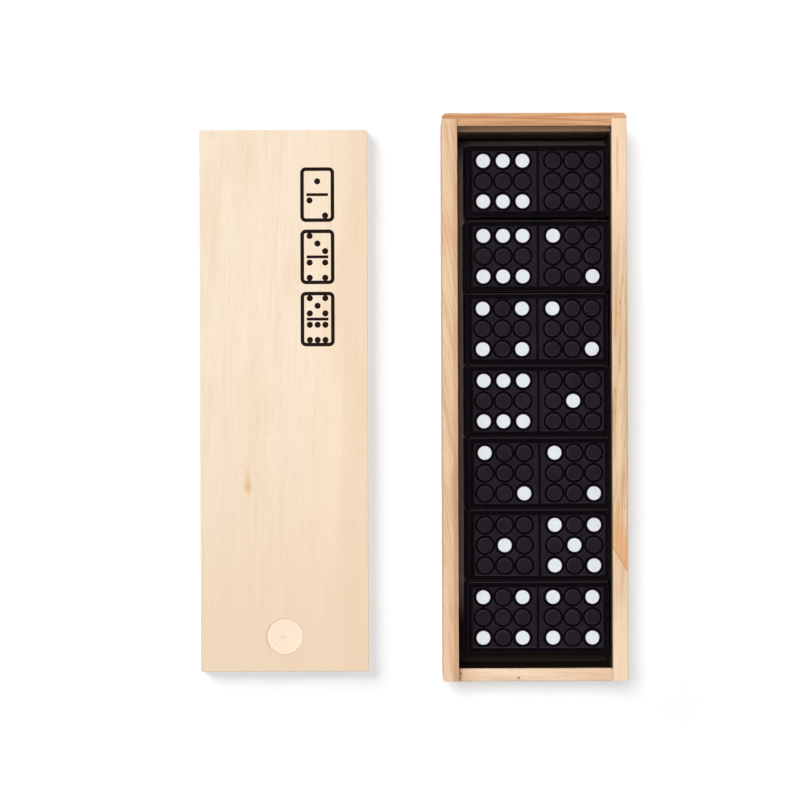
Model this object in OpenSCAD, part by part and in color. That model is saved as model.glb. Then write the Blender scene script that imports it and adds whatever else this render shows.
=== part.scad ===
// Domino storage box: a slim wooden tray with grooves for a sliding lid, packed
// with a double-six set of 28 tiles in seven stacks of four. The lid has been
// drawn out and lies flat on the table to the left of the box.
// Millimetres. The origin is the centre of the box's underside, +X is right,
// +Y is the rear end, where the lid stops, and +Z is up.

/* [Tiles] */
// Length of a tile
tile_l = 38.2; // [37.6:0.1:42]
// Width of a tile
tile_w = 19.25; // [18.8:0.05:22]
// Thickness of a tile
tile_h = 5; // [4:0.1:8]
// Plain raised border round the face of a tile
border = 1.6; // [1.2:0.1:1.8]
// Width of the bar between the two halves of a face
bar_w = 0.9; // [0.6:0.1:1.4]
// Depth of the two fields below the border
field_depth = 0.3; // [0.2:0.05:0.5]
// Diameter of a round button in a field
button_d = 4; // [3.2:0.1:4.2]
// Width of the groove round a button
ring_w = 0.75; // [0.3:0.05:0.75]
// Depth of the groove below the border
ring_depth = 0.7; // [0.6:0.05:1.2]
// Spacing of the buttons along a tile
button_pitch = 5.3; // [5:0.05:5.6]

/* [Box] */
// Thickness of the two long side walls
side_t = 4.1; // [4:0.05:6]
// Thickness of the front and rear walls
end_t = 3.5; // [3.2:0.1:6]
// Thickness of the plywood floor panel
floor_t = 3; // [2:0.1:5]
// Free length inside the box, beside the seven stacks
end_play = 10.25; // [8:0.25:20]
// Free width inside the box, beside the tiles
side_play = 3.05; // [2:0.05:6]
// Free height between the top tiles and the lid
head_room = 1.1; // [0.6:0.1:4]
// Wood left above the lid's groove
lip_h = 2.4; // [1.6:0.1:5]
// How far the rear wall reaches in below its groove
rear_ledge = 1; // [0.6:0.1:1.6]
// How far the front wall stands out past the side walls
front_proud = 0.5; // [0:0.1:0.8]
// Rounding of the rear corners in plan
rear_round = 1.3; // [0.8:0.1:1.4]
// Easing of the outer wooden edges
ease = 0.5; // [0.3:0.05:0.7]
// Easing of the edges round the mouth of the box
rim_ease = 0.2; // [0.1:0.05:0.4]

/* [Lid] */
// Thickness of the plywood lid
lid_t = 3; // [2.4:0.1:5]
// Depth of the lid's groove in each side wall
groove_d = 2.8; // [2:0.1:3]
// Depth of the lid's groove in the rear wall
rear_groove_d = 1.5; // [1:0.1:1.8]
// Diameter of the thumb recess
thumb_d = 10; // [8:0.5:16]
// Depth of the thumb recess
thumb_depth = 0.8; // [0.4:0.1:1.6]
// Distance from the lid's front end to the middle of the recess
thumb_in = 9.7; // [9:0.1:20]
// Distance on the table between the lid and the box
lid_gap = 20.3; // [5:0.1:60]
// How far the lid lies in front of the box's middle
lid_drop = 0.75; // [0:0.05:20]

/* [Hidden] */
$fn = 48;
cut = 0.5;

// Each stack from its floor up, as [left, right] pips. The front stack comes first.
STACKS = [
    [[3, 5], [0, 1], [6, 6], [4, 4]],
    [[2, 3], [4, 6], [0, 0], [1, 5]],
    [[5, 6], [1, 4], [0, 3], [2, 2]],
    [[1, 1], [4, 5], [3, 6], [6, 1]],
    [[0, 5], [3, 3], [1, 2], [4, 2]],
    [[3, 4], [0, 2], [5, 5], [6, 2]],
    [[1, 3], [2, 5], [0, 4], [6, 0]]
];
stack_last = len(STACKS) - 1;
layer_top = len(STACKS[0]) - 1;

// Share of the free length that lies in front of each stack.
GAP_SHARES = [0.34, 0.02, 0.02, 0.02, 0.02, 0.035, 0.095];
// How far each top tile has slid to the right, as a share of its free way.
TOP_LEANS = [0.55, 0.9, 0.9, 0.76, 0.62, 0.77, 0.78];
// The tiles below have slid less far, each by a little more or less than the next.
lower_lean = 0.3;
lean_spread = 0.2;
lean_turn = 137;

// Places of a tile's face.
tile_ease = 0.3;
tile_corner = 0.6;
layer_gap = 0.05;
layer_pitch = tile_h + layer_gap;
button_drop = 0.1;
button_root = 0.3;
pip_inset = 0.125;
outer_margin = 2.8;
side_margin = 2.55;
field_w = tile_w - 2 * border;
field_l = (tile_l - 2 * border - bar_w) / 2;
field_mid = (bar_w + field_l) / 2;
half_mid = tile_l / 2 - border - outer_margin - button_pitch;
row_pitch = field_w / 2 - side_margin;

// Inside and outside of the box, which is built round its tiles.
inner_w = tile_l + side_play;
inner_l = len(STACKS) * tile_w + end_play;
box_w = inner_w + 2 * side_t;
box_l = inner_l + 2 * end_t;
groove_z = floor_t + len(STACKS[0]) * layer_pitch + head_room;
groove_slack = 0.3;
groove_h = lid_t + groove_slack;
box_h = groove_z + groove_h + lip_h;
front_gap = 0.1;
front_h = groove_z - front_gap;
rear_lip = 1.5;
side_l = box_l - rear_lip;
floor_seat = 1.8;

// The lid fills its grooves but for a sliding clearance at each edge.
lid_side_slack = 0.225;
lid_end_slack = 0.2;
lid_w = inner_w + 2 * (groove_d - lid_side_slack);
lid_l = box_l - end_t + rear_groove_d - lid_end_slack;
lid_corner = 0.8;
lid_ease = 0.35;
lid_x = -(box_w / 2 + lid_gap + lid_w / 2);

PINE = "#e3bf97";
REAR_PINE = "#dcae84";
PLYWOOD = "#f1dcc0";
TILE_BLACK = "#1f1b20";
PIP_WHITE = "#e3ebee";

function sum_to(list, last) = last < 0 ? 0 : list[last] + sum_to(list, last - 1);

// A value's pips lie on a three by three grid, with column and row from -1 to 1.
// Two and three run from the upper left to the lower right, and six has two rows
// along the tile.
function is_pip(value, column, row) =
    column == 0 && row == 0 ? value % 2 == 1 :
    column == 0 ? value == 6 :
    row == 0 ? false :
    column == -row ? value >= 2 : value >= 4;

function tile_values(stack, layer) = STACKS[stack][layer];
function tile_name(stack, layer) =
    str("tile_", tile_values(stack, layer)[0], "_", tile_values(stack, layer)[1]);
function pips_name(stack) =
    str("pips_", tile_values(stack, layer_top)[0], "_", tile_values(stack, layer_top)[1]);

function lean(stack, layer) =
    layer == layer_top ? TOP_LEANS[stack] :
    lower_lean + lean_spread * sin(lean_turn * (4 * stack + layer));
function tile_place(stack, layer) = [
    lean(stack, layer) * side_play / 2,
    (stack + 0.5) * tile_w + end_play * sum_to(GAP_SHARES, stack) - inner_l / 2,
    floor_t + layer_gap + layer * layer_pitch
];

// A rectangle from its lower left corner, with round corners.
module soft_rect(width, height, round_r) {
    translate([round_r, 0]) square([width - 2 * round_r, height]);
    translate([0, round_r]) square([width, height - 2 * round_r]);
    for (x = [round_r, width - round_r]) for (y = [round_r, height - round_r])
        translate([x, y]) circle(r = round_r);
}

// A plate standing on z = 0 and centred in plan. Its corners are rounded in
// plan, and its long and short edges are eased above and below.
module eased_plate(length_x, length_y, thickness, corner_r, edge_r) {
    intersection() {
        translate([-length_x / 2, -length_y / 2]) linear_extrude(thickness)
            soft_rect(length_x, length_y, corner_r);
        translate([-length_x / 2, length_y / 2]) rotate([90, 0, 0]) linear_extrude(length_y)
            soft_rect(length_x, thickness, edge_r);
        translate([-length_x / 2, -length_y / 2]) rotate([90, 0, 90]) linear_extrude(length_x)
            soft_rect(length_y, thickness, edge_r);
    }
}

// The plan of the whole box. Sanding has rounded its rear corners more.
module box_plan() {
    translate([-box_w / 2, -box_l / 2]) soft_rect(box_w, box_l - rear_round, ease);
    translate([-box_w / 2 + rear_round, 0]) square([box_w - 2 * rear_round, box_l / 2]);
    for (side = [-1, 1]) translate([side * (box_w / 2 - rear_round), box_l / 2 - rear_round])
        circle(r = rear_round);
}

module floor_block() {
    linear_extrude(floor_t)
        square([inner_w + 2 * floor_seat, inner_l + 2 * floor_seat], center = true);
}

// A board's section with its inner face on the left, where the edges are eased less.
module board_section(thickness, height) {
    soft_rect(thickness, height, ease);
    soft_rect(thickness / 2, height, rim_ease);
}

// Section of a side wall. The lid's groove runs just under the rim.
module side_section() {
    difference() {
        board_section(side_t, box_h);
        translate([-cut, groove_z]) square([groove_d + cut, groove_h]);
    }
}

// Section of the rear wall. Below its groove it is thicker, and reaches in as a ledge.
module rear_section() {
    difference() {
        union() {
            board_section(end_t, box_h);
            translate([-rear_ledge, 0]) soft_rect(rear_ledge + end_t / 2, groove_z, rim_ease);
        }
        translate([-rear_ledge - cut, groove_z])
            square([rear_ledge + rear_groove_d + cut, groove_h]);
    }
}

// The right-hand wall. It runs from the front to the rear wall's lip.
module side_wall() {
    difference() {
        intersection() {
            translate([inner_w / 2, side_l - box_l / 2, 0]) rotate([90, 0, 0])
                linear_extrude(side_l) side_section();
            linear_extrude(box_h) box_plan();
        }
        floor_block();
    }
}

module right_wall() {
    color(PINE) side_wall();
}

module left_wall() {
    color(PINE) mirror([1, 0, 0]) side_wall();
}

// The rear wall fits between the side walls and laps their ends with a thin lip.
// Its own groove takes the lid's rear end.
module rear_wall() {
    color(REAR_PINE) difference() {
        intersection() {
            translate([-box_w / 2, inner_l / 2, 0]) rotate([90, 0, 90]) linear_extrude(box_w)
                rear_section();
            linear_extrude(box_h) box_plan();
        }
        for (side = [-1, 1]) translate([side * (inner_w + side_t + cut) / 2, inner_l / 2, box_h / 2])
            cube([side_t + cut, 2 * (end_t - rear_lip), box_h + 2 * cut], center = true);
        floor_block();
    }
}

// The front wall stops just below the grooves, so that the lid slides over it. Its
// inner face is turned to the rear, so its section is drawn the other way round.
module front_wall() {
    color(PINE) difference() {
        translate([inner_w / 2, -inner_l / 2 - front_proud, 0]) rotate([90, 0, -90])
            linear_extrude(inner_w) board_section(end_t, front_h);
        floor_block();
    }
}

module floor_panel() {
    color(PLYWOOD) floor_block();
}

module lid() {
    color(PLYWOOD) translate([lid_x, -lid_drop, 0]) difference() {
        eased_plate(lid_w, lid_l, lid_t, lid_corner, lid_ease);
        translate([0, thumb_in - lid_l / 2, lid_t - thumb_depth])
            cylinder(d = thumb_d, h = thumb_depth + cut, $fn = 96);
    }
}

// Puts its children at the nine button places of both halves, or only where
// the given values have pips.
module at_buttons() {
    for (half = [-1, 1]) for (column = [-1:1]) for (row = [-1:1])
        translate([half * half_mid + column * button_pitch, row * row_pitch]) children();
}

module at_pips(values) {
    for (half = [0, 1]) for (column = [-1:1]) for (row = [-1:1])
        if (is_pip(values[half], column, row))
            translate([(2 * half - 1) * half_mid + column * button_pitch, row * row_pitch])
                children();
}

module pip_discs(values) {
    translate([0, 0, tile_h - button_drop]) linear_extrude(button_drop)
        at_pips(values) circle(d = button_d - 2 * pip_inset);
}

// The plan of the two sunk fields.
module fields() {
    for (half = [-1, 1]) translate([half * field_mid, 0]) square([field_l, field_w], center = true);
}

// A moulded tile without its paint: two sunk fields, each with nine buttons that
// stand in ring grooves. The grooves run into each other, and end at the fields' edges.
module bare_tile() {
    difference() {
        eased_plate(tile_l, tile_w, tile_h, tile_corner, tile_ease);
        translate([0, 0, tile_h - field_depth]) linear_extrude(field_depth + cut) fields();
        translate([0, 0, tile_h - ring_depth]) linear_extrude(ring_depth) intersection() {
            fields();
            at_buttons() circle(d = button_d + 2 * ring_w);
        }
    }
    translate([0, 0, tile_h - ring_depth - button_root])
        linear_extrude(ring_depth + button_root - button_drop)
            at_buttons() circle(d = button_d);
}

// A top tile's paint is a sub-part of its own. Further down it is one with the tile.
module tile(stack, layer) {
    color(TILE_BLACK) translate(tile_place(stack, layer)) {
        bare_tile();
        if (layer < layer_top) pip_discs(tile_values(stack, layer));
    }
}

module pips(stack) {
    color(PIP_WHITE) translate(tile_place(stack, layer_top))
        pip_discs(tile_values(stack, layer_top));
}

left_wall();
right_wall();
rear_wall();
front_wall();
floor_panel();
lid();
for (stack = [0:stack_last]) for (layer = [0:layer_top])
    tile(stack, layer);
for (stack = [0:stack_last])
    pips(stack);
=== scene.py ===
# %% [markdown]
# # A domino storage box
# A slim pine box holds 28 black tiles in seven stacks of four. Its plywood lid has been drawn out and lies
# flat beside it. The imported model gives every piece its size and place, and this script gives them their
# finish: eased edges, wood grain, plies, moulded plastic and paint.

# %% Load the frame
import math

import bmesh
import bpy
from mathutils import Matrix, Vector


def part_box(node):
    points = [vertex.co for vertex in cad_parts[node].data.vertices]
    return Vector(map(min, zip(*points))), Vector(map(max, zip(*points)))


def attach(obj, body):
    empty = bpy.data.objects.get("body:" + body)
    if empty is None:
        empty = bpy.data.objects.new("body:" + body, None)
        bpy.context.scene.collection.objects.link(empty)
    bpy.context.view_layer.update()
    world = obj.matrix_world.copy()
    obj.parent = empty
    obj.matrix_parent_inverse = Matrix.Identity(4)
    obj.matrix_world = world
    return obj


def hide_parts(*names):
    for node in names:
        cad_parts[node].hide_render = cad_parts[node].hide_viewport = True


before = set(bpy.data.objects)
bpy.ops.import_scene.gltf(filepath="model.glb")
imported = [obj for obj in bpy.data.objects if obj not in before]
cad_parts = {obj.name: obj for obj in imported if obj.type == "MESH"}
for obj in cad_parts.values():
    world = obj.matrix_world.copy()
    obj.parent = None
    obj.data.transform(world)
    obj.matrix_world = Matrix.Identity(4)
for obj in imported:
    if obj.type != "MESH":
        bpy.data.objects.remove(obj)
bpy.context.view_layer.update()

MM = 0.001


def mm(metres):
    return round(metres / MM, 2)


print("nodes in the frame:", len(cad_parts))

# %% [markdown]
# ## Camera
# The picture is taken from straight above, with the box to the right of the middle and the lid to the left.
# A long lens shows only a little of the walls' inner faces. The whole picture is turned by a fraction of a
# degree, as a camera on a copy stand often is.

# %% Camera
CAMERA_PLACE = Vector((-36.14, -0.65, 820)) * MM
CAMERA_LENS = 133
CAMERA_SENSOR = 36
CAMERA_ROLL = math.radians(-0.2)

scene = bpy.context.scene
scene.view_settings.view_transform = "Standard"
bpy.ops.object.camera_add(location=CAMERA_PLACE, rotation=(0, 0, CAMERA_ROLL))
camera = bpy.context.object
camera.data.lens = CAMERA_LENS
camera.data.sensor_width = CAMERA_SENSOR
scene.camera = camera
print("camera height in mm:", mm(CAMERA_PLACE.z))

# %% [markdown]
# ## Shader helpers
# A material here is a small graph of nodes. These helpers add one node each and return its output, so that
# a graph reads like a formula. A value may be a plain number or the output of another node.

# %% Shader helpers
def plug(value, socket):
    if isinstance(value, bpy.types.NodeSocket):
        socket.id_data.links.new(value, socket)
    elif value is not None:
        socket.default_value = value


def add_node(tree, kind, inputs, **settings):
    """Adds a node with its settings, and plugs the inputs, which are numbered or named."""
    node = tree.nodes.new("ShaderNode" + kind)
    for name, value in settings.items():
        setattr(node, name, value)
    for socket, value in inputs.items():
        plug(value, node.inputs[socket])
    return node


def home(*values):
    """The node tree of the first value that comes out of a node."""
    return next(value.id_data for value in values if isinstance(value, bpy.types.NodeSocket))


def calc(operation, *values):
    return add_node(home(*values), "Math", dict(enumerate(values)), operation=operation).outputs[0]


def plus(first, second):
    return calc("ADD", first, second)


def minus(first, second):
    return calc("SUBTRACT", first, second)


def times(first, second):
    return calc("MULTIPLY", first, second)


def length(across, along):
    return calc("SQRT", plus(times(across, across), times(along, along)))


def axes_of(vector):
    return add_node(home(vector), "SeparateXYZ", {0: vector}).outputs


def noise(vector, scale, detail, roughness=0.5):
    inputs = {"Vector": vector, "Scale": scale, "Detail": detail, "Roughness": roughness}
    return add_node(home(vector), "TexNoise", inputs).outputs["Fac"]


def fibres(vector, across, along, detail=1.0, roughness=0.5):
    """Noise that changes at one rate per millimetre across the grain and at another along it."""
    inputs = {0: vector, 1: (across, along, across)}
    stretched = add_node(home(vector), "VectorMath", inputs, operation="MULTIPLY").outputs[0]
    return noise(stretched, 1, detail, roughness)


def fade(value, start, end, low=0.0, high=1.0):
    """A smooth step from low, at start, to high, at end."""
    inputs = {"Value": value, "From Min": start, "From Max": end, "To Min": low, "To Max": high}
    return add_node(home(value), "MapRange", inputs, interpolation_type="SMOOTHSTEP").outputs["Result"]


def between(value, start, end, soft):
    """1 between two limits, with soft sides."""
    return times(fade(value, start - soft, start + soft), fade(value, end - soft, end + soft, 1, 0))


def mix(amount, first, second, mode="MIX"):
    tree = home(amount, first, second)
    return add_node(tree, "Mix", {0: amount, 6: first, 7: second}, data_type="RGBA", blend_type=mode).outputs[2]


def paint(red, green, blue):
    """A colour as a screen shows it, 0 to 255, in the linear values that a shader uses."""
    shown = [part / 255 for part in (red, green, blue)]
    return (*[c / 12.92 if c <= 0.04045 else ((c + 0.055) / 1.055) ** 2.4 for c in shown], 1.0)


print("mid grey in linear light:", round(paint(128, 128, 128)[0], 3))

# %% [markdown]
# ## Floor and light
# The object lies on white paper under soft studio light from the upper left. The paper takes the shadow as a
# matt surface, and glows a little for the camera alone, so that it turns white away from the object without
# any more light on the wood. A steep lamp gives the shadow its side, and an even sky fills it. What glossy
# things mirror is a studio with a dark ceiling, where the camera hangs, and a bright screen at the rear left.

# %% Background light
SKY_STRENGTH = 0.3
CEILING_GLEAM = 0.04
SCREEN_HEIGHT = 0.88, 0.62
SCREEN_SIDE = 0, 0.7


def seen_directly(tree):
    """1 for camera, mirror and glass rays, and 0 for light that falls on things."""
    rays = add_node(tree, "LightPath", {}).outputs
    seen = calc("MAXIMUM", rays["Is Camera Ray"], rays["Is Glossy Ray"])
    return calc("MAXIMUM", seen, rays["Is Transmission Ray"])


world = bpy.data.worlds.new("studio_air")
scene.world = world
world.use_nodes = True
tree = world.node_tree
sky = tree.nodes["Background"]
sky.inputs["Color"].default_value = (1, 1, 1, 1)
x, y, z = axes_of(add_node(tree, "TexCoord", {}).outputs["Generated"])
screen = times(fade(z, *SCREEN_HEIGHT, CEILING_GLEAM, 1), fade(minus(y, x), *SCREEN_SIDE, CEILING_GLEAM, 1))
mirrored = add_node(tree, "LightPath", {}).outputs["Is Glossy Ray"]
strength = fade(seen_directly(tree), 0, 1, SKY_STRENGTH, 1)
plug(plus(times(strength, minus(1, mirrored)), times(screen, mirrored)), sky.inputs["Strength"])
print("sky strength:", SKY_STRENGTH)

# %% Paper
PAPER_SIZE = 6
PAPER_GREY = 0.66
PAPER_TINT = 0.96, 0.982, 1
PAPER_GLOW = 0.03

bpy.ops.object.select_all(action="DESELECT")
bpy.ops.mesh.primitive_plane_add(size=PAPER_SIZE)
paper = bpy.context.object
paper.name = "paper"
paper_white = bpy.data.materials.new("paper_white")
paper_white.use_nodes = True
tree = paper_white.node_tree
tree.nodes.clear()
matt = add_node(tree, "BsdfDiffuse", {"Color": (*[PAPER_GREY * part for part in PAPER_TINT], 1)})
glow = add_node(tree, "Emission", {"Strength": times(seen_directly(tree), PAPER_GLOW)})
both = add_node(tree, "AddShader", {0: matt.outputs[0], 1: glow.outputs[0]})
add_node(tree, "OutputMaterial", {"Surface": both.outputs[0]})
paper.data.materials.append(paper_white)
print("paper reflects:", PAPER_GREY)

# %% Lamp
LAMP_AWAY = 4


def softbox(name, turn, tilt, spread, share):
    """A round lamp, turned from the right towards the rear, tilted from the vertical, that spreads over an
    angle each way. Its share is the part of full light that it gives a level white sheet."""
    turn, tilt, spread = math.radians(turn), math.radians(tilt), math.radians(spread)
    aim = Vector((math.cos(turn) * math.sin(tilt), math.sin(turn) * math.sin(tilt), math.cos(tilt)))
    place = Vector((CAMERA_PLACE.x, CAMERA_PLACE.y, 0)) + aim * LAMP_AWAY
    bpy.ops.object.light_add(type="AREA", location=place, rotation=aim.to_track_quat("Z", "Y").to_euler())
    lamp = bpy.context.object
    lamp.name = name
    lamp.data.shape = "DISK"
    lamp.data.size = 2 * LAMP_AWAY * math.tan(spread)
    lamp.data.energy = share * (math.pi * LAMP_AWAY / math.cos(spread)) ** 2 / math.cos(tilt)
    lamp.visible_camera = False
    lamp.visible_glossy = False
    print(name, "at", [round(c / MM) for c in lamp.location])
    return lamp


key_lamp = softbox("key_lamp", turn=128, tilt=11, spread=7.5, share=0.7)

# %% [markdown]
# ## A lamp for the paper
# In the photograph the shadow beside the thin lid is as soft and wide as the one beside the tall box. One
# lamp can't do that, because a shadow's width follows the height of what casts it. So a second, broad lamp
# falls on the paper alone, and the lid alone stands in its way, while the key lamp passes the lid by.

# %% Paper lamp
paper_lamp = softbox("paper_lamp", turn=140, tilt=65, spread=24, share=0.6)


def collect(name, pieces, state="INCLUDE"):
    group = bpy.data.collections.new(name)
    for piece in pieces:
        group.objects.link(piece)
    for item in group.collection_objects:
        item.light_linking.link_state = state
    return group


paper_lamp.light_linking.receiver_collection = collect("lit_by_paper_lamp", [paper])

# %% [markdown]
# ## Modelling helpers
# Each piece starts as a primitive at its size and place and is shaped in edit mode. Operators act on what is
# selected, so these helpers select by place and direction, the way a hand picks an edge on the screen.

# %% Modelling helpers
SMOOTH_BELOW = math.radians(35)


def only(*pieces):
    """Leaves these pieces alone selected, in object mode, with the first one active."""
    if bpy.context.object and bpy.context.object.mode != "OBJECT":
        bpy.ops.object.mode_set(mode="OBJECT")
    bpy.ops.object.select_all(action="DESELECT")
    for piece in pieces:
        piece.select_set(True)
    if pieces:
        bpy.context.view_layer.objects.active = pieces[0]


def take_all():
    bpy.ops.mesh.select_all(action="SELECT")


def edit(piece):
    only(piece)
    bpy.ops.object.mode_set(mode="EDIT")
    take_all()


def close():
    bpy.ops.object.mode_set(mode="OBJECT")


def placed(name, size=(1, 1, 1)):
    """Names a new primitive and moves its place, turn and size into its mesh."""
    piece = bpy.context.object
    piece.name = name
    piece.scale = size
    bpy.ops.object.transform_apply(location=True, rotation=True, scale=True)
    return piece


def block(name, low, high):
    """A cube between two corners."""
    only()
    bpy.ops.mesh.primitive_cube_add(size=1, location=(low + high) / 2)
    return placed(name, high - low)


def joined(pieces):
    only(*pieces)
    if len(pieces) > 1:
        bpy.ops.object.join()
    return bpy.context.object


def pick(kind, test):
    """Selects the faces or edges that pass a test of their middle and direction, and returns how many."""
    bpy.ops.mesh.select_mode(type=kind)
    bpy.ops.mesh.select_all(action="DESELECT")
    mesh = bmesh.from_edit_mesh(bpy.context.edit_object.data)
    found = []
    for item in (mesh.faces if kind == "FACE" else mesh.edges):
        if kind == "FACE":
            place, way = item.calc_center_median(), item.normal
        else:
            ends = [vertex.co for vertex in item.verts]
            place, way = (ends[0] + ends[1]) / 2, (ends[1] - ends[0]).normalized()
        if test(place, way):
            found.append(item)
    for item in found:
        item.select_set(True)
    bmesh.update_edit_mesh(bpy.context.edit_object.data)
    return len(found)


def near(a, b, reach=0.02 * MM):
    return abs(a - b) < reach


def draw_out(x, y, z):
    bpy.ops.mesh.extrude_region_move(TRANSFORM_OT_translate={"value": (x, y, z)})


def ease(test, width, segments=3):
    """Rounds the edges that pass the test, in edit mode."""
    count = pick("EDGE", test)
    bpy.ops.mesh.bevel(offset=width, segments=segments, affect="EDGES", clamp_overlap=True)
    return count


def carve(piece, tool, operation="DIFFERENCE"):
    """Cuts the tool out of the piece, or joins it on, and uses the tool up."""
    modifier = piece.modifiers.new("carve", "BOOLEAN")
    modifier.operation = operation
    modifier.solver = "EXACT"
    modifier.object = tool
    only(piece)
    bpy.ops.object.modifier_apply(modifier=modifier.name)
    bpy.data.objects.remove(tool, do_unlink=True)


def dress(piece, body, finish=None):
    """Cleans a finished piece, gives it its material, and fastens it to its body."""
    edit(piece)
    bpy.ops.mesh.remove_doubles(threshold=0.001 * MM)
    bpy.ops.mesh.normals_make_consistent(inside=False)
    close()
    bpy.ops.object.shade_smooth_by_angle(angle=SMOOTH_BELOW)
    even = piece.modifiers.new("even", "WEIGHTED_NORMAL")
    even.keep_sharp = True
    bpy.ops.object.modifier_apply(modifier=even.name)
    if finish:
        piece.data.materials.append(finish)
    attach(piece, body)


print("smooth below degrees:", round(math.degrees(SMOOTH_BELOW)))

# %% [markdown]
# ## Sizes of the box
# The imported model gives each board's lowest and highest corners. What lies inside a board, such as the lid's
# groove, is worked out from them and from the small clearances of the real joinery.

# %% Sizes of the box
LID_SLACK = 0.3 * MM
LID_SIDE_SLACK = 0.225 * MM
FRONT_GAP = 0.1 * MM
EASE = 0.5 * MM
RIM_EASE = 0.2 * MM
REAR_GROOVE = 1.5 * MM
REAR_LEDGE = 1.0 * MM
REAR_LIP = 1.5 * MM

lid_low, lid_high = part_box("lid")
lid_middle = (lid_low + lid_high) / 2
front_low, front_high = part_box("front_wall")
rear_low, rear_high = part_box("rear_wall")
panel_low, panel_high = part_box("floor_panel")
groove_low = front_high.z + FRONT_GAP
groove_high = groove_low + lid_high.z - lid_low.z + LID_SLACK
groove_depth = (lid_high.x - lid_low.x - (front_high.x - front_low.x)) / 2 + LID_SIDE_SLACK
mouth_x = front_high.x
print("groove from", mm(groove_low), "to", mm(groove_high), "and", mm(groove_depth), "deep")

# %% [markdown]
# ## Timber
# Sawn wood shows the tree's growth rings where the saw cut them. A picture of wood would repeat and would
# not meet at the corners, so the rings are built as a solid: the distance from the heart of the trunk,
# bent a little by noise, drives pale early wood and darker late wood. Long thin noise adds the fibres, and
# short dark dashes add the pores. Every board places this one group at its own distance and slope.

# %% The timber group
def new_group(name, values):
    """A node group with an input for each value, which puts out a colour and a height."""
    tree = bpy.data.node_groups.new(name, "ShaderNodeTree")
    for title, value in values.items():
        kind = "Vector" if value is None else "Color" if isinstance(value, tuple) else "Float"
        socket = tree.interface.new_socket(name=title, in_out="INPUT", socket_type="NodeSocket" + kind)
        if value is not None:
            socket.default_value = value
    for title, kind in (("Color", "NodeSocketColor"), ("Height", "NodeSocketFloat")):
        tree.interface.new_socket(name=title, in_out="OUTPUT", socket_type=kind)
    return tree, tree.nodes.new("NodeGroupInput").outputs


def put_out(colour, height):
    """Ends a group with its colour and height, and returns it."""
    tree = home(colour)
    result = tree.nodes.new("NodeGroupOutput")
    plug(colour, result.inputs["Color"])
    plug(height, result.inputs["Height"])
    return tree


def timber_group():
    tree, source = new_group("timber", {
        "Vector": None, "Early": paint(240, 212, 178), "Late": paint(212, 165, 122), "Ring Width": 3.0,
        "Rings": 0.6, "Waver": 2.0, "Fibres": 0.12, "Dashes": 0.25, "Patches": 0.3, "Streaks": 0.3,
    })
    place, early, late = source["Vector"], source["Early"], source["Late"]

    # The place is in millimetres from the heart: x and z across the rings, y along the grain.
    x, y, z = axes_of(place)
    drift = minus(fibres(place, 0.11, 0.022, 2, 0.45), 0.5)
    turn = calc("DIVIDE", plus(length(x, z), times(drift, source["Waver"])), source["Ring Width"])
    share = calc("FRACT", turn)
    lot = add_node(tree, "TexWhiteNoise", {"W": calc("FLOOR", turn)}, noise_dimensions="1D").outputs["Value"]
    ring = times(fade(share, 0.3, 0.88), fade(share, 0.9, 1.0, 1, 0))
    ring = times(ring, fade(lot, 0, 1, 0.5, 1))
    ring = times(ring, fade(fibres(place, 0.2, 0.03), 0.35, 0.6, 0.5, 1))
    patch = times(fade(fibres(place, 0.12, 0.03, 2), 0.42, 0.68), source["Patches"])
    colour = mix(calc("MAXIMUM", times(ring, source["Rings"]), patch), early, late)

    # Browner streaks and paler gleams run along the grain.
    streak = fade(fibres(place, 1.5, 0.05, 2, 0.55), 0.47, 0.66)
    browner = mix(1.0, late, paint(240, 228, 214), "MULTIPLY")
    colour = mix(times(streak, source["Streaks"]), colour, browner)
    gleam = fade(fibres(place, 2.1, 0.07), 0.6, 0.75)
    colour = mix(times(gleam, source["Streaks"]), colour, mix(0.5, early, (1, 0.9, 0.78, 1)))

    # Fine fibres shade the wood, and short dark dashes are its pores.
    grain = plus(times(fibres(place, 4.5, 0.16, 3, 0.6), 0.65), times(fibres(place, 9.0, 0.5), 0.35))
    shade = plus(times(minus(grain, 0.5), source["Fibres"]), 1)
    colour = mix(1.0, colour, shade, "MULTIPLY")
    dash = times(fade(fibres(place, 3.2, 0.33), 0.66, 0.74), source["Dashes"])
    colour = mix(dash, colour, mix(1.0, late, paint(196, 168, 140), "MULTIPLY"))
    return put_out(colour, minus(plus(grain, times(ring, 0.4)), dash))


TIMBER = timber_group()
print("timber nodes:", len(TIMBER.nodes))

# %% [markdown]
# ## Wood finishes
# A board's finish is the timber group with the board's own heart, slope and tones. The Mapping node takes
# the piece's own metres to millimetres from that heart. Raw sanded wood is matt, and the grain lifts the
# surface by a few hundredths of a millimetre.

# %% Wood finishes
WOOD_ROUGHNESS = 0.62
WOOD_GLOSS = 0.25
WOOD_BUMP = 0.6
PINE_RELIEF = 0.03
# Painted shade: the colour that stands for the deep shade on the boards' faces inside the tray.
TRAY_SHADE_PAINT = paint(76, 64, 54)


def start_material(name):
    material = bpy.data.materials.new(name)
    material.use_nodes = True
    return material, material.node_tree, material.node_tree.nodes["Principled BSDF"]


def object_place(tree, heart=(0, 0, 0), turn=(0, 0, 0)):
    """Millimetres from a point of the piece, seen along axes turned by three angles in degrees."""
    place = add_node(tree, "TexCoord", {}).outputs["Object"]
    angles = [math.radians(angle) for angle in turn]
    inputs = {"Vector": place, "Location": Vector(heart) * MM, "Rotation": angles, "Scale": (MM, MM, MM)}
    return add_node(tree, "Mapping", inputs, vector_type="TEXTURE").outputs[0]


def use_group(tree, group, heart=(0, 0, 0), turn=(0, 0, 0), **values):
    """Places a group in a material, on the piece's own place, with this finish's values."""
    inputs = {name.replace("_", " ").title(): value for name, value in values.items()}
    inputs["Vector"] = object_place(tree, heart, turn)
    return add_node(tree, "Group", inputs, node_tree=group).outputs


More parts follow.
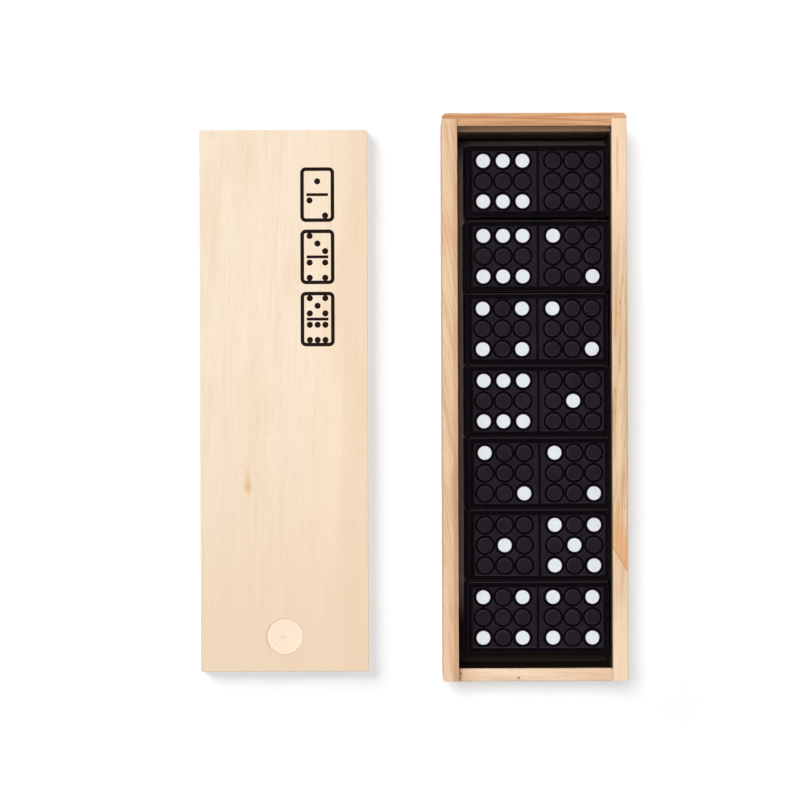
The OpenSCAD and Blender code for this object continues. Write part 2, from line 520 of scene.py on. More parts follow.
def surface(shader, colour, roughness, gloss, height, strength, relief):
    """Feeds a shader. The height lifts the surface by up to the relief, in millimetres."""
    plug(colour, shader.inputs["Base Color"])
    plug(roughness, shader.inputs["Roughness"])
    plug(gloss, shader.inputs["Specular IOR Level"])
    bump = add_node(shader.id_data, "Bump", {"Strength": strength, "Distance": relief * MM, "Height": height})
    plug(bump.outputs[0], shader.inputs["Normal"])


def board(name, heart, turn, tones, inside, shade_paint=TRAY_SHADE_PAINT, **values):
    """A board's finish. Tones are the board's own marks, painted over the grain in its own millimetres, and
    inside is where the board faces the tray, where shade is painted over them in the shade_paint colour."""
    material, tree, shader = start_material(name)
    wood = use_group(tree, TIMBER, heart, turn, **values)
    axes = axes_of(object_place(tree))
    colour = mix(inside(*axes), tones(*axes, wood["Color"]), shade_paint)
    surface(shader, colour, WOOD_ROUGHNESS, WOOD_GLOSS, wood["Height"], WOOD_BUMP, PINE_RELIEF)
    return material


print("wood roughness:", WOOD_ROUGHNESS)

# %% Painted shade where the boards face the tray
SKIN = 0.12
REAR_SHADE_FADE = 6

groove_floor, mouth, front_back = groove_low / MM, mouth_x / MM, front_high.y / MM


def side_painted_shade(x, y, z):
    """Painted shade on the inner face below the lid's groove, and on the groove's floor, as far as the front board.
    """
    face = fade(calc("ABSOLUTE", x), mouth + SKIN, mouth + 2 * SKIN, 1, 0)
    face = times(face, fade(z, groove_floor, groove_floor + 2 * SKIN, 1, 0))
    face = calc("MAXIMUM", face, between(z, groove_floor - SKIN, groove_floor + SKIN, SKIN / 2))
    return times(face, fade(y, front_back - SKIN, front_back))


# Painted shade on the front board's inner face, below its top.
def front_painted_shade(x, y, z):
    top = front_high.z / MM
    return times(fade(y, front_back - 2 * SKIN, front_back - SKIN), fade(z, top - 2 * SKIN, top - 4 * SKIN))


def rear_painted_shade(x, y, z):
    """The rear board's inner face, with painted shade that fades out towards the ledge."""
    face = rear_low.y / MM
    return times(fade(y, face + SKIN, face + 2 * SKIN, 1, 0), fade(z, groove_floor, groove_floor - REAR_SHADE_FADE))


# Painted shade reaches up to the groove's floor.
print("stained up to mm:", round(groove_floor, 2))

# %% Marks on the boards
# Two dark specks on the front board: place, reach, width for a length of 1, and share at the core.
SPECKS = (-4.4, -75.6, 0.5, 1, 0.75), (-20.0, -74.3, 0.4, 1, 0.75)
# Dark growth rings on the rear board: place, width and share.
DARK_RINGS = (74.75, 0.5, 0.65), (75.4, 0.2, 0.35), (73.55, 0.25, 0.4)


def tint(amount, share, colour, other):
    return mix(times(amount, share), colour, other)


def spots(x, y, places, core, colour, other):
    """Soft spots, each at its full share as far as a core, which is a part of its reach."""
    for spot_x, spot_y, reach, slim, share in places:
        away = length(calc("DIVIDE", minus(x, spot_x), slim), minus(y, spot_y))
        colour = mix(fade(away, reach, reach * core, 0, share), colour, other)
    return colour


def left_tones(x, y, z, colour):
    """A browner stretch on the inner half of the board towards the front, pale wood beside it and at the
    rear end, and a browner strip along the tray."""
    slant = plus(x, times(y, 0.06))
    stretch = times(between(y, -41, -19, 3), fade(slant, -24.6, -23.2))
    colour = tint(stretch, 0.5, colour, paint(192, 140, 102))
    colour = tint(fade(y, 72, 75), 0.4, colour, paint(246, 214, 182))
    outer = times(fade(x, -22.9, -23.7), fade(y, -40, -52))
    colour = tint(outer, 0.55, colour, paint(244, 210, 176))
    strip = times(between(x, -21.9, -20.7, 0.3), fade(y, 0, -30, 0.4, 0.75))
    return mix(strip, colour, paint(202, 156, 118))


def right_tones(x, y, z, colour):
    """Pale ends, a duller middle, an orange streak near the rear, orange wood on the rim that ends in a
    slanting line, and a duller outer half."""
    colour = tint(fade(calc("ABSOLUTE", plus(y, 6)), 30, 66), 0.75, colour, paint(252, 225, 195))
    colour = tint(between(y, 14, 40, 10), 0.15, colour, paint(214, 172, 136))
    streak = times(between(x, 21.9, 22.4, 0.15), between(y, 55, 69, 3))
    colour = tint(streak, 0.7, colour, paint(238, 176, 116))
    slant = plus(plus(y, 41.1), times(minus(x, 20.9), 1.6))
    on_rim = fade(z, 28.6, 29.6)
    orange = times(times(fade(slant, 0, 0.5), fade(slant, 17, 5)), on_rim)
    colour = tint(orange, 0.65, colour, paint(230, 166, 112))
    line = times(between(slant, 0, 0.9, 0.3), on_rim)
    colour = tint(line, 0.5, colour, paint(206, 140, 92))
    outer = times(fade(x, 22.6, 24.6), between(y, -14, 16, 10))
    return tint(outer, 0.55, colour, paint(206, 164, 126))


def joint_line(x, y, colour):
    """Glue darkens the board's ends, where it meets the side walls, most at the left. The lip has no joint."""
    x = times(x, fade(y, 74.5, 74.6, 1, 0))
    end = between(calc("ABSOLUTE", x), mouth - 0.22, mouth + 0.1, 0.06)
    return tint(times(end, fade(x, -1, 1, 1, 0.3)), 0.6, colour, paint(150, 100, 62))


def front_tones(x, y, z, colour):
    """A duller left end, two small dark specks and the joints."""
    colour = tint(fade(x, -14, -20), 0.5, colour, paint(214, 174, 134))
    return joint_line(x, y, spots(x, y, SPECKS, 0.3, colour, paint(120, 78, 48)))


def rear_tones(x, y, z, colour):
    """Dark growth rings that bend inwards to the right, light and shade painted on the ledge, and the joints."""
    across = plus(y, times(calc("POWER", plus(x, 14), 2), 0.0011))
    for place, width, share in DARK_RINGS:
        ring = between(across, place - width / 2, place + width / 2, 0.15)
        colour = tint(ring, share, colour, paint(192, 126, 84))
    colour = tint(fade(y, 73.4, 72.7), 0.5, colour, paint(200, 150, 100))
    # Painted light and shade on the ledge: paler where it runs under the wall above, whose shadow falls there, and
    # darker at its front edge.
    ledge = times(fade(z, groove_floor + 0.5, groove_floor + 0.2), fade(y, 74.2, 74))
    ledge_light_and_shade = mix(fade(y, 71.8, 72.7), paint(170, 132, 106), paint(250, 220, 190))
    return joint_line(x, y, tint(ledge, 0.8, colour, ledge_light_and_shade))


print("marks:", len(SPECKS), "specks and", len(DARK_RINGS), "dark rings")

# %% Board finishes
# Each board's shade function says where shade is painted inside the tray, and a colour after it is that painted
# shade.
left_pine = board(
    "left_pine", (-62, 0, -14), (0, 0, 9.5), left_tones, side_painted_shade,
    early=paint(241, 206, 171), late=paint(204, 153, 114), ring_width=2.9, rings=0.5,
    waver=3.0, fibres=0.2, dashes=0.2, patches=0.35, streaks=0.35,
)
right_pine = board(
    "right_pine", (95, 0, -20), (0, 0, -2.5), right_tones, side_painted_shade,
    early=paint(240, 208, 174), late=paint(212, 168, 120), ring_width=2.9, rings=0.55,
    waver=4.0, fibres=0.2, dashes=0.6, patches=0.4, streaks=0.55,
)
front_pine = board(
    "front_pine", (0, -140, -30), (0, 0, 88), front_tones, front_painted_shade, paint(60, 50, 42),
    early=paint(248, 220, 190), late=paint(216, 174, 132), ring_width=3.4, rings=0.35,
    waver=4.0, fibres=0.15, dashes=0.25, patches=0.4, streaks=0.3,
)
rear_board_pine = board(
    "rear_board_pine", (0, 110, -10), (0, 0, 91.5), rear_tones, rear_painted_shade, paint(236, 192, 162),
    early=paint(232, 184, 140), late=paint(198, 136, 92), ring_width=1.7, rings=0.7,
    waver=2.0, fibres=0.22, dashes=0.3, patches=0.4, streaks=0.5,
)
print("boards:", [item.name for item in (left_pine, right_pine, front_pine, rear_board_pine)])

# %% [markdown]
# ## Plywood
# The lid is thin plywood: a face veneer on each side of a thicker core whose grain runs across. The faces
# are pale and even, with fine short streaks. The finish changes with height, so the core shows at the sawn
# edges and in a recess. Two thin glue lines are drawn where a face doesn't point up or down.

# %% Plywood finish
FACE_PLY = 0.78
PLY_SOFT = 0.03
GLUE_LINE = 0.05
PLY_RELIEF = 0.02


def facing_up(tree):
    return axes_of(add_node(tree, "NewGeometry", {}).outputs["Normal"])[2]


def plywood(name, low, high, tones, thumb=None):
    """Plywood between two corners. Tones are painted over its faces, and thumb over the core that a recess
    bares too. Both are in millimetres from the middle of its underside."""
    material, tree, shader = start_material(name)
    middle = (low + high) / 2 / MM
    upper_ply = (high.z - low.z) / MM - FACE_PLY
    axes = axes_of(object_place(tree, (middle.x, middle.y, low.z / MM)))
    height = axes[2]
    face = use_group(
        tree, TIMBER, (-400, 0, -300), (0, 0, -1.5),
        early=paint(250, 232, 209), late=paint(240, 213, 182), ring_width=9.0, rings=0.22,
        waver=14.0, fibres=0.17, dashes=0.15, patches=0.35, streaks=0.14,
    )
    core = use_group(
        tree, TIMBER, (0, -300, 1), (0, 0, 90),
        early=paint(253, 236, 215), late=paint(234, 202, 164), ring_width=2.3, rings=0.05,
        waver=1.5, fibres=0.07, dashes=0.05, patches=0.1, streaks=0.04,
    )
    in_core = between(height, FACE_PLY, upper_ply, PLY_SOFT)
    colour = mix(in_core, tones(*axes, face["Color"]), core["Color"])
    if thumb:
        colour = thumb(*axes, colour)
    glue = calc("MAXIMUM", *[calc("COMPARE", height, level, GLUE_LINE) for level in (FACE_PLY, upper_ply)])
    sawn = fade(calc("ABSOLUTE", facing_up(tree)), 0.3, 0.6, 1, 0)
    colour = tint(times(glue, sawn), 0.55, colour, paint(150, 104, 66))
    relief = mix(in_core, face["Height"], core["Height"])
    surface(shader, colour, WOOD_ROUGHNESS, WOOD_GLOSS, relief, WOOD_BUMP, PLY_RELIEF)
    return material


def panel_tones(x, y, z, colour):
    """Painted shade on the side that faces the tray, most at the two ends."""
    top = (panel_high.z - panel_low.z) / MM
    shade_paint = mix(fade(y, -50, -64), paint(180, 150, 138), paint(52, 45, 42))
    shade_paint = mix(fade(y, 62, 68), shade_paint, paint(122, 106, 105))
    shade_paint = mix(fade(y, 70.5, 71.2), shade_paint, paint(50, 36, 34))
    return mix(fade(z, top - 2 * SKIN, top - SKIN), colour, shade_paint)


panel_ply = plywood("panel_ply", panel_low, panel_high, panel_tones)
print("plywood:", panel_ply.name)

# %% Lid face
THUMB_ACROSS = 10 * MM
THUMB_DEPTH = 0.8 * MM
THUMB_IN = 9.7 * MM
# Torn fibres in the recess: where each starts, its length and its thickness. They rise by a slope.
TORN = (-1.6, -0.35, 1.9, 0.16), (-2.7, -2.0, 0.35, 0.2), (-1.9, -1.4, 0.5, 0.14), (-0.6, -0.9, 0.7, 0.12)
TORN_SLOPE = 0.22
# A knot with its flame: place, reach, width for a length of 1, and share at the core.
KNOT = (
    (-10, -22.0, 6.5, 0.22, 0.3), (-10, -23.8, 2.0, 0.8, 0.75),
    (-10, -21.4, 1.6, 0.4, 0.4), (-10, -25.3, 1.3, 0.4, 0.4),
)


def thumb_tones(x, y, z, colour):
    """The cut edge of the thumb recess is browner all round, and more so at its rear left, where its shadow is
    painted, and a few torn fibres lie in it.
    """
    y = minus(y, (lid_low.y + THUMB_IN - lid_middle.y) / MM)
    rim = THUMB_ACROSS / MM / 2
    # The ring's share grows towards the rear left: painted shadow of the recess's wall.
    edge = times(between(length(x, y), rim - 0.14, rim + 0.1, 0.06), fade(minus(y, x), -5, 6, 0.25, 0.9))
    colour = tint(edge, 0.75, colour, paint(216, 170, 122))
    for start_x, start_y, long, thick in TORN:
        rise = minus(minus(y, start_y), times(minus(x, start_x), TORN_SLOPE))
        torn = times(between(rise, -thick / 2, thick / 2, 0.06), between(x, start_x, start_x + long, 0.15))
        colour = tint(torn, 0.6, colour, paint(190, 152, 104))
    return colour


def lid_tones(x, y, z, colour):
    """The warmer band along the lid's right edge, the front end darkened and warmed as painted shade, and the knot.
    """
    wander = times(minus(fibres(object_place(home(x)), 0.2, 0.02, 2), 0.5), 8)
    colour = tint(fade(plus(x, wander), 14, 19), 0.5, colour, paint(236, 212, 183))
    # Painted shade: the lid darkens towards its front end, away from the light.
    colour = tint(fade(plus(y, wander), 11, -74), 0.6, colour, paint(236, 209, 181))
    return spots(x, y, KNOT, 0.1, colour, paint(230, 186, 130))


lid_ply = plywood("lid_ply", lid_low, lid_high, lid_tones, thumb_tones)
print("lid finish:", lid_ply.name)

# %% [markdown]
# ## Side walls
# Each long wall is a pine board with a groove for the lid just under its rim. Its section is drawn first,
# as a flat sheet that is cut along the groove's three sides and loses the notch, and then drawn out along
# the box. The sawn edges are eased, and a slow, slight wave keeps them from looking ruled.

# %% Section drawing
def section_sheet(name, low, high, facing):
    """A flat sheet that fills a board's section at its starting end, standing across x or y."""
    middle = (low + high) / 2
    middle[facing] = low[facing]
    turn = (math.pi / 2, 0, 0) if facing == 1 else (math.pi / 2, 0, math.pi / 2)
    only()
    bpy.ops.mesh.primitive_plane_add(size=1, location=middle, rotation=turn)
    return placed(name, ((high - low)[1 - facing], (high - low).z, 1))


def slice_at(axis, value):
    normal = Vector((0, 0, 0))
    normal[axis] = 1
    take_all()
    bpy.ops.mesh.bisect(plane_co=normal * value, plane_no=normal)


def remove_faces(test):
    pick("FACE", test)
    bpy.ops.mesh.delete(type="FACE")


def draw_board(x, y, z):
    """Draws the whole sheet out into a board."""
    take_all()
    draw_out(x, y, z)
    take_all()
    bpy.ops.mesh.normals_make_consistent(inside=False)


def merge_flat():
    take_all()
    bpy.ops.mesh.dissolve_limited(angle_limit=math.radians(1))


WAVE_HEIGHT = 0.09 * MM
WAVE_LENGTH = 7 * MM
wave_texture = bpy.data.textures.new("sawn_wave", "CLOUDS")
wave_texture.noise_scale = WAVE_LENGTH
wave_texture.noise_depth = 2


def seat_and_wave(piece, axis, cuts):
    """Cuts the floor panel's seat, and moves the long faces in and out by a slow, slight wave."""
    carve(piece, block("seat", panel_low - Vector((0, 0, MM)), panel_high))
    edit(piece)
    pick("EDGE", lambda place, way: abs(way[axis]) > 0.99)
    bpy.ops.mesh.subdivide(number_cuts=cuts)
    close()
    wave = piece.modifiers.new("wave", "DISPLACE")
    wave.texture = wave_texture
    wave.texture_coords = "LOCAL"
    wave.strength = WAVE_HEIGHT
    wave.mid_level = 0.5
    bpy.ops.object.modifier_apply(modifier=wave.name)


print("wave height in mm:", mm(WAVE_HEIGHT))

# %% Side walls
SIDE_CUTS = 96


def side_wall(node, name, finish):
    low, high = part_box(node)
    inner_x, outer_x, outward = (low.x, high.x, 1) if high.x > 0 else (high.x, low.x, -1)
    wall = section_sheet(name, low, high, 1)
    edit(wall)
    slice_at(2, groove_low)
    slice_at(2, groove_high)
    slice_at(0, inner_x + outward * groove_depth)
    remove_faces(lambda place, way: groove_low < place.z < groove_high and abs(place.x - inner_x) < groove_depth)
    draw_board(0, high.y - low.y, 0)
    merge_flat()
    ease(lambda place, way: abs(way.y) > 0.99 and near(place.x, outer_x), EASE, 4)
    ease(lambda place, way: abs(way.y) > 0.99 and near(place.x, inner_x), RIM_EASE, 3)
    ease(lambda place, way: near(place.y, low.y) and near(place.x, outer_x) and abs(way.z) > 0.9, EASE, 3)
    close()
    seat_and_wave(wall, 1, SIDE_CUTS)
    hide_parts(node)
    dress(wall, "box", finish)
    return wall


left_side = side_wall("left_wall", "left_side", left_pine)
right_side = side_wall("right_wall", "right_side", right_pine)
print("faces in the side walls:", len(left_side.data.polygons), "and", len(right_side.data.polygons))

# %% [markdown]
# ## Rear wall
# The rear board is darker. It fits between the side walls, and a thin lip of it laps over their ends. Its
# section has the same notch for the lid's end, and below the notch the wall is thicker, so a ledge shows. The
# board is drawn out between the side walls, and then the lip's two end faces alone are drawn further, out to
# the corners, which are well rounded.

# %% Rear wall
REAR_CORNER = 1.3 * MM
REAR_CUTS = 40

inner_low = Vector((-mouth_x, rear_low.y, rear_low.z))
inner_high = Vector((mouth_x, rear_high.y, rear_high.z))
rear_face = rear_low.y + REAR_LEDGE
lip_front = rear_high.y - REAR_LIP
rear_board = section_sheet("rear_board", inner_low, inner_high, 0)
edit(rear_board)
slice_at(2, groove_low)
slice_at(2, groove_high)
slice_at(1, rear_face)
slice_at(1, rear_face + REAR_GROOVE)
slice_at(1, lip_front)
remove_faces(lambda place, way: groove_low < place.z < groove_high and place.y < rear_face + REAR_GROOVE)
remove_faces(lambda place, way: place.z > groove_high and place.y < rear_face)
draw_board(inner_high.x - inner_low.x, 0, 0)
for end_x, reach in ((inner_high.x, rear_high.x - inner_high.x), (inner_low.x, rear_low.x - inner_low.x)):
    pick("FACE", lambda place, way: near(place.x, end_x) and abs(way.x) > 0.9 and place.y > lip_front)
    draw_out(reach, 0, 0)
merge_flat()
rounded = ease(
    lambda place, way: abs(way.z) > 0.9 and near(place.y, rear_high.y) and abs(place.x) > mouth_x, REAR_CORNER, 6)
eased = ease(
    lambda place, way: place.y > lip_front + RIM_EASE and (near(place.z, rear_high.z) or near(place.z, rear_low.z)),
    EASE, 4)
eased += ease(
    lambda place, way: abs(way.x) > 0.9 and place.y < rear_face + RIM_EASE and place.z > groove_low - RIM_EASE,
    RIM_EASE, 3)
close()
seat_and_wave(rear_board, 0, REAR_CUTS)
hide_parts("rear_wall")
dress(rear_board, "box", rear_board_pine)
print("rear corners rounded:", rounded, "and edges eased:", eased)

# %% [markdown]
# ## Front wall and floor panel
# The front wall stands between the side walls and stops just below the grooves. It is a plain board with
# eased edges, and its lower inner edge is cut back for the floor panel. The panel is plywood, flush below.

# %% Front wall
FRONT_CUTS = 30

front_board = block("front_board", front_low, front_high)
edit(front_board)
ease(lambda place, way: abs(way.x) > 0.9 and near(place.y, front_low.y), EASE, 4)
ease(lambda place, way: abs(way.x) > 0.9 and near(place.y, front_high.y), RIM_EASE, 3)
close()
seat_and_wave(front_board, 0, FRONT_CUTS)
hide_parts("front_wall")
dress(front_board, "box", front_pine)
print("front wall height in mm:", mm(front_high.z - front_low.z))

# %% Floor panel
PANEL_EASE = 0.25 * MM

base_panel = block("base_panel", panel_low, panel_high)
edit(base_panel)
ease(lambda place, way: near(place.z, panel_low.z), PANEL_EASE, 2)
ease(lambda place, way: near(place.z, panel_high.z), PANEL_EASE / 2, 2)
close()
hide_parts("floor_panel")
dress(base_panel, "box", panel_ply)
print("panel size in mm:", [mm(c) for c in panel_high - panel_low])

# %% [markdown]
# ## Lid
# The lid is a plywood board with slightly rounded corners and eased edges. Near its front end a flat-bottomed
# drill has sunk a round recess for the thumb, as deep as the face veneer, so the core shows in it.

# %% Lid
LID_CORNER = 0.6 * MM
LID_EASE = 0.3 * MM
THUMB_EASE = 0.12 * MM

lid_board = block("lid_board", lid_low, lid_high)
edit(lid_board)
ease(lambda place, way: abs(way.z) > 0.9, LID_CORNER, 5)
ease(lambda place, way: near(place.z, lid_high.z) or near(place.z, lid_low.z), LID_EASE, 3)
close()
thumb_centre = Vector((lid_middle.x, lid_low.y + THUMB_IN, lid_high.z))
only()
bpy.ops.mesh.primitive_cylinder_add(
    vertices=96, radius=THUMB_ACROSS / 2, depth=2 * THUMB_DEPTH, location=thumb_centre)
drill = placed("drill")
edit(drill)
ease(lambda place, way: place.z < lid_high.z and abs(way.z) < 0.1, THUMB_EASE, 2)
close()
carve(lid_board, drill)
edit(lid_board)
ease(
    lambda place, way: near(place.z, lid_high.z)
    and near((place - thumb_centre).length, THUMB_ACROSS / 2, 0.05 * MM), THUMB_EASE, 2)
close()
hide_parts("lid")
dress(lid_board, "lid", lid_ply)
key_lamp.light_linking.blocker_collection = collect("passed_by_key_lamp", [lid_board], "EXCLUDE")
paper_lamp.light_linking.blocker_collection = collect("in_the_paper_lamp", [lid_board])
print("lid size in mm:", [mm(c) for c in lid_high - lid_low])

# %% [markdown]
# ## Print on the lid
# The lid carries a plain printed mark: three outlined dominoes in a column. Each is a thin film of black ink.
# A plane with clipped corners is inset by the line's width, its middle is deleted, and the rest is drawn up
# a little. The dots are small discs, set out as on a die.

# %% Ink
INK_RISE = 0.015 * MM
INK_GLOSS = 0.15

ink, tree, shader = start_material("ink")
gaps = fade(fibres(object_place(tree), 7.0, 0.9, 2), 0.62, 0.74)
plug(mix(times(gaps, 0.5), paint(34, 25, 23), paint(96, 76, 62)), shader.inputs["Base Color"])
plug(fade(gaps, 0, 1, 0.5, 0.7), shader.inputs["Roughness"])
plug(INK_GLOSS, shader.inputs["Specular IOR Level"])
print("ink rise in mm:", round(INK_RISE / MM, 3))

# %% Print
MARK_WIDE = 9.4 * MM
MARK_LONG = 15.1 * MM
MARK_GAP = 2.1 * MM
MARK_LINE = 1.0 * MM
MARK_CORNER = 1.5 * MM
MARK_DOT = 1.7 * MM
BAR_LONG = MARK_WIDE - 3.4 * MARK_LINE
BAR_WIDE = 0.8 * MARK_LINE
DOT_STEP = Vector((2.15, 2.1, 0)) * MM
DOTS_IN = 0.1 * MM
MARK_RIGHT = lid_middle.x + 14.1 * MM
MARK_TOP = lid_middle.y + 64.5 * MM
MARK_VALUES = ((1, 2), (3, 4), (5, 6))
NINE = [(column, row) for column in (-1, 0, 1) for row in (-1, 0, 1)]


def is_pip(value, column, row):
    """Whether a value has a pip at a column and row from -1 to 1."""
    if column == 0 and row == 0:
        return value % 2 == 1
    if column == 0:
        return value == 6
    if row == 0:
        return False
    return value >= 2 if column == -row else value >= 4


def sheet(name, centre, wide, long):
    only()
    bpy.ops.mesh.primitive_plane_add(size=1, location=centre)
    return placed(name, (wide, long, 1))


def thicken(piece):
    edit(piece)
    draw_out(0, 0, 2 * INK_RISE)
    close()
    return piece


def outline(centre):
    ring = sheet("outline", centre, MARK_WIDE, MARK_LONG)
    edit(ring)
    bpy.ops.mesh.bevel(offset=MARK_CORNER, segments=8, affect="VERTICES")
    take_all()
    bpy.ops.mesh.inset(thickness=MARK_LINE)
    bpy.ops.mesh.delete(type="FACE")
    return thicken(ring)


def dot(centre):
    only()
    bpy.ops.mesh.primitive_circle_add(vertices=28, radius=MARK_DOT / 2, fill_type="NGON", location=centre)
    return thicken(placed("dot"))


strokes = []
for number, values in enumerate(MARK_VALUES):
    top = MARK_TOP - MARK_LONG / 2 - number * (MARK_LONG + MARK_GAP)
    centre = Vector((MARK_RIGHT - MARK_WIDE / 2, top, lid_high.z - INK_RISE))
    strokes += [outline(centre), thicken(sheet("bar", centre, BAR_LONG, BAR_WIDE))]
    for half, value in zip((1, -1), values):
        for row, column in NINE:
            if is_pip(value, column, row):
                offset = Vector((column * DOT_STEP.x, half * MARK_LONG / 4 + row * DOT_STEP.y, 0))
                strokes.append(dot(centre + offset - Vector((0, half * DOTS_IN, 0))))
lid_print = joined(strokes)
lid_print.name = "lid_print"
dress(lid_print, "lid", ink)
print("strokes and dots:", len(strokes))

# %% [markdown]
# ## Black plastic
# The tiles are moulded in black plastic. Their rims and sides come off polished steel and are glossy, and the
# sunk fields and their buttons come off a textured part of the mould and are matt and a shade lighter. Both
# get a faint mottle and a little dust, and a painted highlight lightens their rounded edges.

# %% The moulding group
def moulding_group():
    tree, source = new_group("moulding", {
        "Vector": None, "Plain": paint(16, 12, 15), "Worn": paint(20, 16, 18), "Edge": paint(70, 64, 68),
        "Grain": 2.0,
    })
    place = source["Vector"]
    colour = mix(fade(noise(place, 0.25, 2), 0.35, 0.7), source["Plain"], source["Worn"])
    dust = fade(noise(place, 1.7, 1), 0.74, 0.8, 0, 0.2)
    colour = mix(dust, colour, source["Edge"])

    # Painted highlight: a rounded edge, where the surface turns from upwards to sideways, takes the edge colour.
    upwards = facing_up(tree)
    edge = times(fade(upwards, 0.25, 0.5), fade(upwards, 0.86, 0.97, 1, 0))
    return put_out(mix(edge, colour, source["Edge"]), noise(place, source["Grain"], 3, 0.6))


MOULDING = moulding_group()
print("moulding nodes:", len(MOULDING.nodes))

# %% Plastic finishes
MOTTLE = 0.05
PLASTIC_BUMP = 0.5


def plastic(name, roughness, gloss, relief, **values):
    material, tree, shader = start_material(name)
    skin = use_group(tree, MOULDING, **values)
    rough = fade(skin["Height"], 0.3, 0.7, roughness - MOTTLE, roughness + MOTTLE)
    surface(shader, skin["Color"], rough, gloss, skin["Height"], PLASTIC_BUMP, relief)
    return material


# The edge colour is both the painted highlight on rounded edges and the colour of the dust.
rim_black = plastic(
    "rim_black", roughness=0.24, gloss=0.7, relief=0.001,
    plain=paint(14, 8, 14), worn=paint(17, 11, 17), edge=paint(42, 37, 41), grain=2.0)
field_black = plastic(
    "field_black", roughness=0.34, gloss=0.5, relief=0.008,
    plain=paint(36, 29, 37), worn=paint(40, 33, 41), edge=paint(64, 58, 65), grain=6.0)
print("plastics:", rim_black.name, field_black.name)

# %% [markdown]
# ## A tile
# One tile is modelled at the origin and copied 28 times. It starts as a block with rounded edges. Two shallow
# fields are cut into its face, 18 ring-shaped pockets are sunk into them, and a round button stands in each
# pocket. The cutters flare at their tops, which eases the rims in the same stroke.

# %% Sizes of a tile
TILE_EASE = 0.28 * MM
TILE_CORNER = 0.6 * MM
BORDER = 1.6 * MM
BAR = 0.9 * MM
FIELD_DEPTH = 0.3 * MM
RING_DEPTH = 0.7 * MM
RING_ACROSS = 5.5 * MM
RING_FLARE = 0.07 * MM
FENCE_IN = 0.02 * MM
BUTTON_ACROSS = 4.0 * MM
BUTTON_DROP = 0.1 * MM
BUTTON_ROOT = 0.3 * MM
BUTTON_EASE = 0.24 * MM
BUTTON_PITCH = 5.3 * MM
ROW_PITCH = 5.475 * MM
HALF_MIDDLE = 9.4 * MM
RIM_FLARE = 0.1 * MM

tile_low, tile_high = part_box("tile_6_0")
tile_size = tile_high - tile_low
face_z = tile_size.z
field_z = face_z - FIELD_DEPTH
half_x, half_y = tile_size.x / 2, tile_size.y / 2
print("tile size in mm:", [mm(c) for c in tile_size])

# %% Cutters and buttons
TOOL_SIDES = 40


def flare_top(tool, flare, middle, wide, long):
    """Draws a cutter's top up by twice the flare, and widens it by as much on each side."""
    edit(tool)
    pick("FACE", lambda place, way: way.z > 0.9)
    draw_out(0, 0, 2 * flare)
    bpy.ops.transform.resize(value=(1 + 4 * flare / wide, 1 + 4 * flare / long, 1), center_override=middle)
    close()


def round_tool(name, across, bottom, top):
    only()
    bpy.ops.mesh.primitive_cylinder_add(
        vertices=TOOL_SIDES, radius=across / 2, depth=top - bottom, location=(0, 0, (top + bottom) / 2))
    return placed(name)


def shift(piece, offset):
    """Moves a piece's mesh, and leaves its object at the origin."""
    only(piece)
    bpy.ops.transform.translate(value=offset)
    bpy.ops.object.transform_apply(location=True, rotation=True, scale=True)


def copies_at(master, places):
    """Copies of a piece at each place, with the master used up."""
    copies = []
    for place in places:
        only(master)
        bpy.ops.object.duplicate(linked=False)
        copies.append(bpy.context.object)
        shift(copies[-1], place)
    bpy.data.objects.remove(master, do_unlink=True)
    return copies


def button_places(values=None):
    """The nine places of both halves, or only those where the values have pips."""
    places = []
    for half in (0, 1):
        for column, row in NINE:
            if values is None or is_pip(values[half], column, row):
                x = (2 * half - 1) * HALF_MIDDLE + column * BUTTON_PITCH
                places.append(Vector((x, row * ROW_PITCH, 0)))
    return places


print("buttons on a tile:", len(button_places()))

# %% The block and its fields
tile = block("tile", Vector((-half_x, -half_y, 0)), Vector((half_x, half_y, face_z)))
edit(tile)
ease(lambda place, way: abs(way.z) > 0.9, TILE_CORNER, 4)
ease(lambda place, way: near(place.z, face_z) or near(place.z, 0), TILE_EASE, 3)
close()
for side in (-1, 1):
    ends = sorted((side * BAR / 2, side * (half_x - BORDER)))
    low, high = Vector((ends[0], BORDER - half_y, field_z)), Vector((ends[1], half_y - BORDER, face_z))
    cutter = block("cutter", low, high - Vector((0, 0, RIM_FLARE)))
    flare_top(cutter, RIM_FLARE, (low + high) / 2, high.x - low.x, high.y - low.y)
    carve(tile, cutter)
print("faces with two fields:", len(tile.data.polygons))

# %% Ring pockets and buttons
pocket = round_tool("pocket", RING_ACROSS, face_z - RING_DEPTH, field_z - RING_FLARE)
flare_top(pocket, RING_FLARE, (0, 0, field_z), RING_ACROSS, RING_ACROSS)
fence_x = (BAR / 2 + FENCE_IN, half_x - BORDER - FENCE_IN)
fence_y = half_y - BORDER - FENCE_IN
for tool in copies_at(pocket, button_places()):
    left = sum(vertex.co.x for vertex in tool.data.vertices) < 0
    ends = (-fence_x[1], -fence_x[0]) if left else fence_x
    fence = block("fence", Vector((ends[0], -fence_y, 0)), Vector((ends[1], fence_y, 2 * face_z)))
    carve(tool, fence, "INTERSECT")
    carve(tile, tool)

button = round_tool("button", BUTTON_ACROSS, face_z - RING_DEPTH - BUTTON_ROOT, face_z - BUTTON_DROP)
edit(button)
ease(lambda place, way: near(place.z, face_z - BUTTON_DROP), BUTTON_EASE, 3)
close()
carve(tile, joined(copies_at(button, button_places())), "UNION")
print("faces with rings and buttons:", len(tile.data.polygons))

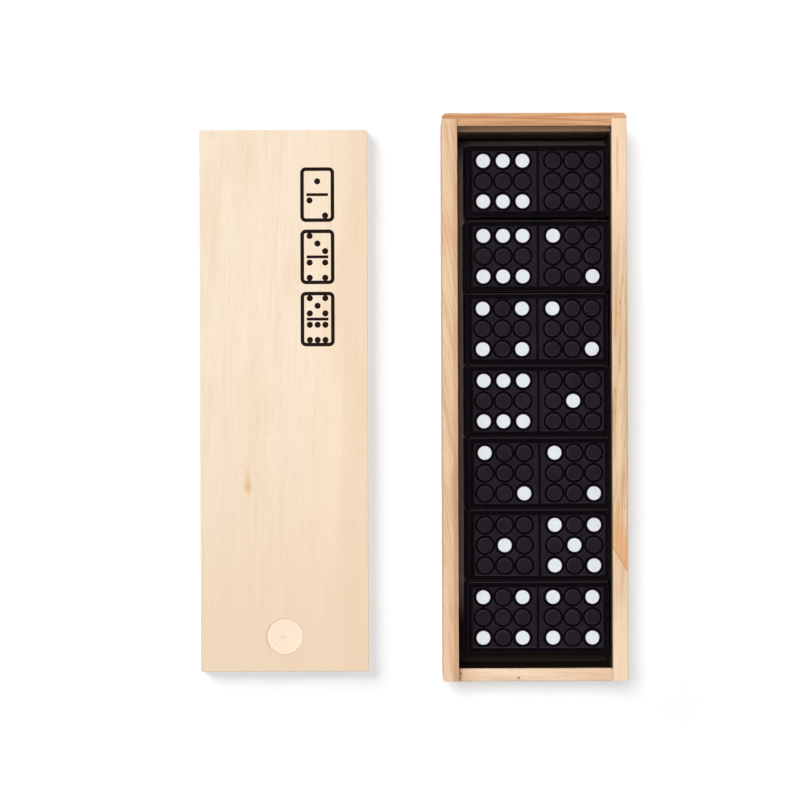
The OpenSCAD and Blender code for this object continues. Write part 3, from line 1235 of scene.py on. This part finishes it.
# %% Glossy rims and matt fields
tile.data.materials.append(rim_black)
tile.data.materials.append(field_black)
edit(tile)
matt_faces = pick(
    "FACE",
    lambda place, way: face_z - RING_DEPTH + 0.05 * MM < place.z < face_z - 0.02 * MM
    and BAR / 2 < abs(place.x) < half_x - BORDER and abs(place.y) < half_y - BORDER,
)
tile.active_material_index = 1
bpy.ops.object.material_slot_assign()
bpy.ops.mesh.select_all(action="DESELECT")
bpy.ops.mesh.select_mode(type="EDGE")
bpy.ops.mesh.select_non_manifold()
close()
open_edges = sum(edge.select for edge in tile.data.edges)
print("faces of a tile:", len(tile.data.polygons), "of which matt:", matt_faces, "and open edges:", open_edges)

# %% [markdown]
# ## The set
# Each tile of the frame gets its own copy of the mesh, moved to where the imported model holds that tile. It
# rides on its own body, so that it lifts with the tiles that lie on it.

# %% Copies of the tile
TILE_NAMES = sorted(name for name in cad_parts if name.startswith("tile_"))


def place_of(node):
    low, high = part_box(node)
    return Vector(((low.x + high.x) / 2, (low.y + high.y) / 2, low.z))


for node, copy in zip(TILE_NAMES, copies_at(tile, [place_of(node) for node in TILE_NAMES])):
    copy.name = node.replace("tile", "domino")
    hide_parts(node)
    dress(copy, node)
print("tiles in the box:", len(TILE_NAMES))

# %% [markdown]
# ## Pips
# White paint is printed on the tops of some buttons. It stops short of the button's edge and thins towards
# its own, so a pip is a disc with a rounded rim. One disc is shaped and copied to every pip of a tile.

# %% Paint finish
PAINT_GLOSS = 0.2
PAINT_BUMP = 0.4
PAINT_RELIEF = 0.01

pip_white, tree, shader = start_material("pip_white")
place = object_place(tree)
cloud = noise(place, 0.9, 3)
white = mix(fade(cloud, 0.3, 0.7), paint(226, 232, 236), paint(234, 238, 242))
rough = fade(cloud, 0.3, 0.7, 0.38, 0.5)
surface(shader, white, rough, PAINT_GLOSS, noise(place, 3.0, 2), PAINT_BUMP, PAINT_RELIEF)
print("paint:", pip_white.name)

# %% Pips
PIP_ACROSS = 3.69 * MM
PIP_SINK = 0.02 * MM
PIP_EASE = 0.07 * MM

painted = 0
for node in TILE_NAMES:
    places = button_places([int(part) for part in node.split("_")[1:]])
    if not places:
        continue
    disc = round_tool("disc", PIP_ACROSS, face_z - BUTTON_DROP - PIP_SINK, face_z)
    edit(disc)
    ease(lambda place, way: near(place.z, face_z), PIP_EASE, 3)
    close()
    pips = joined(copies_at(disc, places))
    pips.name = node.replace("tile", "paint")
    shift(pips, place_of(node))
    paint_node = node.replace("tile", "pips")
    if paint_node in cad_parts:
        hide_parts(paint_node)
    dress(pips, node, pip_white)
    painted += len(places)
print("pips in the set:", painted)
